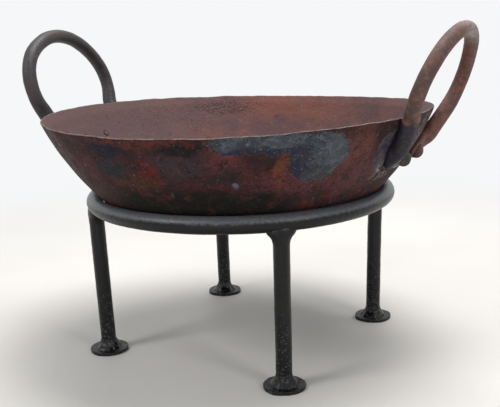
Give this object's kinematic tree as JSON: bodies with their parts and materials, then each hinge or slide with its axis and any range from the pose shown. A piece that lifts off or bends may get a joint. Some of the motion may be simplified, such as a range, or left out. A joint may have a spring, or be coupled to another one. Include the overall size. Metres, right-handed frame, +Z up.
{
  "type": "kadai fire pit",
  "caption": "Beaten iron fire bowl with riveted loop handles, resting loose in a low ring stand on legs with flat foot discs.",
  "frame": {"origin": "on the floor, under the middle of the whole object's box; the ring's axis is 5.46 mm from it towards -X", "axes": "+Z up through the ring and bowl; the handles lie along X, one at +X and one at -X"},
  "size_m": [0.423, 0.36, 0.2995],
  "materials": {
    "beaten_iron": "rusted and scaled",
    "handle_iron": "dark rust, worn smooth",
    "rivet_iron": "dark rust",
    "stand_black": "worn satin black",
    "weld_black": "satin black over weld",
    "foot_black": "worn satin black"
  },
  "bodies": {
    "stand": {"stand_ring": "stand_black", "ring_seam_weld": "weld_black", "leg_front_right": "stand_black", "foot_front_right": "foot_black", "ring_weld_front_right": "weld_black", "foot_weld_front_right": "weld_black", "leg_back_right": "stand_black", "foot_back_right": "foot_black", "ring_weld_back_right": "weld_black", "foot_weld_back_right": "weld_black", "leg_back_left": "stand_black", "foot_back_left": "foot_black", "ring_weld_back_left": "weld_black", "foot_weld_back_left": "weld_black", "leg_front_left": "stand_black", "foot_front_left": "foot_black", "ring_weld_front_left": "weld_black", "foot_weld_front_left": "weld_black"},
    "bowl": {"bowl": "beaten_iron", "handle_left": "handle_iron", "handle_right": "handle_iron", "rivet_left_front": "rivet_iron", "rivet_left_back": "rivet_iron", "rivet_right_front": "rivet_iron", "rivet_right_back": "rivet_iron"}
  },
  "joints": [
    {"name": "bowl_lift", "type": "slide", "parent": "stand", "child": "bowl", "axis": [0, 0, 1], "range_m": [0, 0.12]}
  ]
}
